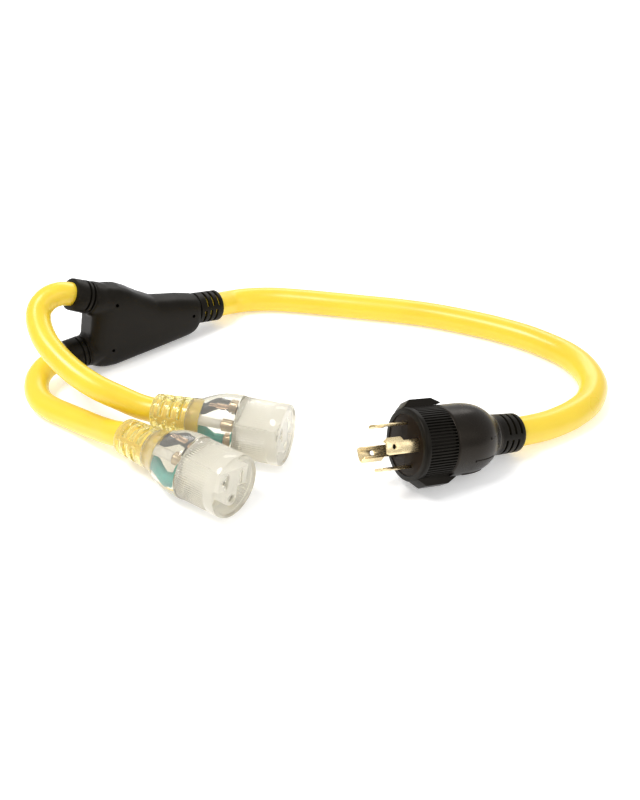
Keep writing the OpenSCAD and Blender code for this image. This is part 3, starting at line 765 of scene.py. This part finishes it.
def slot_cutters(where):
    """The hot slot, the T-shaped neutral slot and the ground hole, as cutters."""
    half, reach, depth = SLOT_W / 2, SLOT_H / 2, CARRIER_FRONT + 1.2

    def box(y0, y1, z0, z1):
        return prism("slot", [(y0, z0), (y1, z0), (y1, z1), (y0, z1)], -depth, 3, where, CLEAR)

    upright = [box(y - half, y + half, SLOTS_Z - reach, SLOTS_Z + reach) for y in (-SLOTS_Y, SLOTS_Y)]
    branch = box(-SLOTS_Y - 4.2, -SLOTS_Y, SLOTS_Z - half, SLOTS_Z + half)
    ground = where @ Matrix.Translation((0, 0, GROUND_Z))
    hole = turned("hole", [(-depth, GROUND_R), (3, GROUND_R)], ground, CLEAR, 32)
    return upright + [branch, hole]


def build_connector(label, where):
    length, r = CONNECTOR_LEN, BARREL_R
    nodes = f"connector_{label}_"
    dome = dome_profile([(-29.4, r + 0.25), (-36, r + 0.3), (-43, r - 0.6), (-50, r - 3.0), (-56, r - 5.6),
                         (-CONNECTOR_SHOULDER, 12.6)])
    rear = [(-CONNECTOR_SHOULDER - 0.5, 12.2), (-CONNECTOR_SHOULDER - 0.5, BRANCH_R - 0.03)]
    body = turned(f"{label}_connector_dome", [(-27, 12), (-28.6, r - 0.6), (-28.9, r)] + dome + rear,
                  where, CLEAR, 96)
    smooth(body, 40)
    ribs = 84

    def ribbed(x, radius, a):
        if x > -7.2 or x < -27.6 or radius < r - 1.2:
            return radius
        return radius - 0.5 * (0.5 - 0.5 * math.cos(a * ribs)) ** 1.5

    barrel_profile = [(-0.8, 8), (-0.8, 16.6), (0, 17.2), (0, r - 0.9), (-0.35, r - 0.25), (-1.0, r),
                      (-6.4, r), (-6.9, r - 0.15), (-7.3, r - 0.15)]
    barrel_profile += [(x, r - 0.15) for x in np.linspace(-9, -27, 6)] + [(-27.7, r - 0.15), (-28.2, r - 0.5),
                                                                        (-28.4, r - 1.4), (-28.4, 8)]
    barrel = turned(f"{label}_connector_barrel", barrel_profile, where, CLEAR_BARREL, ribs * 8,
                    ribbed)
    cut(barrel, *slot_cutters(where))
    smooth(barrel, 40)
    finish_piece(body, "clear_moulding", nodes + "shell")
    finish_piece(barrel, "clear_moulding")
    tail = relief(f"{label}_connector_relief", where, -CONNECTOR_SHOULDER, CONNECTOR_SHOULDER - length, 12.4,
                  11.1, BRANCH_R - 0.03, 3, CLEAR_RELIEF, math.radians(15), 1.8)
    finish_piece(tail, "clear_moulding")

    carrier = prism(f"{label}_contact_carrier", t_outline(), -CARRIER_BACK, -CARRIER_FRONT, where,
                    CARRIER_WHITE)
    cut(carrier, *slot_cutters(where))
    bevel(carrier, 0.4, 2)
    smooth(carrier, 40)
    finish_piece(carrier, "carrier_white", nodes + "carrier")

    ends = {"hot": (SLOTS_Y, SLOTS_Z, WIRE_BLACK, "wire_black", (4, 2.4)),
            "neutral": (-SLOTS_Y, SLOTS_Z, WIRE_WHITE, "wire_white", (-4, 2.4)),
            "ground": (0, GROUND_Z, WIRE_GREEN, "wire_green", (0, -4.6))}
    for use, (y, z, material, slot_name, start) in ends.items():
        lead = wire(f"{label}_{use}_lead", [(-JACKET_END - 1, *start), (-JACKET_END + 2, *start), (-44, y, z),
                                            (-41, y, z), (-38, y, z)], WIRE_R, where, material)
        finish_piece(lead, slot_name, nodes + f"wire_{use}")
        strands = wire(f"{label}_{use}_strands", [(-38.3, y, z), (-36, y, z), (-34, y, z)], 1.7,
                       where, COPPER)
        finish_piece(strands, "contact_brass")


build_connector("far", FAR)
build_connector("near", NEAR)

# ---------- CAD nodes that stay: their materials ----------

KEPT = {
    "contact": CONTACT, "lamp": LAMP, "premould": PREMOULD, "splice": TIN,
    "wire_ground": WIRE_GREEN, "wire_neutral": WIRE_WHITE, "wire_hot_y": WIRE_RED, "wire_hot_x": WIRE_BLACK,
    "_hot": WIRE_BLACK, "_neutral": WIRE_WHITE, "_ground": WIRE_GREEN,
}
for node_name, node_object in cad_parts.items():
    for key, node_material in KEPT.items():
        if key in node_name:
            node_object.data.materials.clear()
            node_object.data.materials.append(node_material)
            break

# ---------- Floor and light ----------

FLOOR_SIZE, FLOOR_GLOW, SKY = 30, 0.3, 0.72

floor_material, floor_shader, floor_add, floor_link = new_material("studio_floor")
floor_noise = floor_add("ShaderNodeTexNoise", {"Scale": 3.0, "Detail": 2.0})
floor_tint = floor_add("ShaderNodeValToRGB", {"Fac": floor_noise.outputs["Fac"]})
floor_tint.color_ramp.elements[0].color = (0.96, 0.96, 0.96, 1)
floor_tint.color_ramp.elements[1].color = (0.98, 0.98, 0.98, 1)
floor_link(floor_tint.outputs["Color"], floor_shader.inputs["Base Color"])
set_inputs(floor_shader, Roughness=0.7, Emission_Color=(1, 1, 1, 1), Emission_Strength=FLOOR_GLOW)
bpy.ops.mesh.primitive_plane_add(size=FLOOR_SIZE, location=(0, 0, 0))
floor = bpy.context.object
floor.name = "studio_floor"
floor.data.materials.append(floor_material)

world = bpy.data.worlds.new("studio")
world.use_nodes = True
world.node_tree.nodes["Background"].inputs["Color"].default_value = (1, 1, 1, 1)
world.node_tree.nodes["Background"].inputs["Strength"].default_value = SKY
bpy.context.scene.world = world
bpy.context.scene.view_settings.view_transform = "Standard"


def soft_light(name, place, size, watts, aim=(0, 0, 0)):
    data = bpy.data.lights.new(name, "AREA")
    data.energy = watts
    data.shape = "RECTANGLE"
    data.size, data.size_y = size
    obj = bpy.data.objects.new(name, data)
    obj.location = place
    obj.rotation_euler = (Vector(aim) - Vector(place)).to_track_quat("-Z", "Y").to_euler()
    bpy.context.scene.collection.objects.link(obj)


soft_light("key", (-0.5, -0.2, 1.1), (0.5, 0.35), 9)
soft_light("fill", (0.9, -0.7, 0.8), (0.8, 0.6), 2)
soft_light("back", (0.2, 1.1, 0.8), (1.2, 0.4), 5)
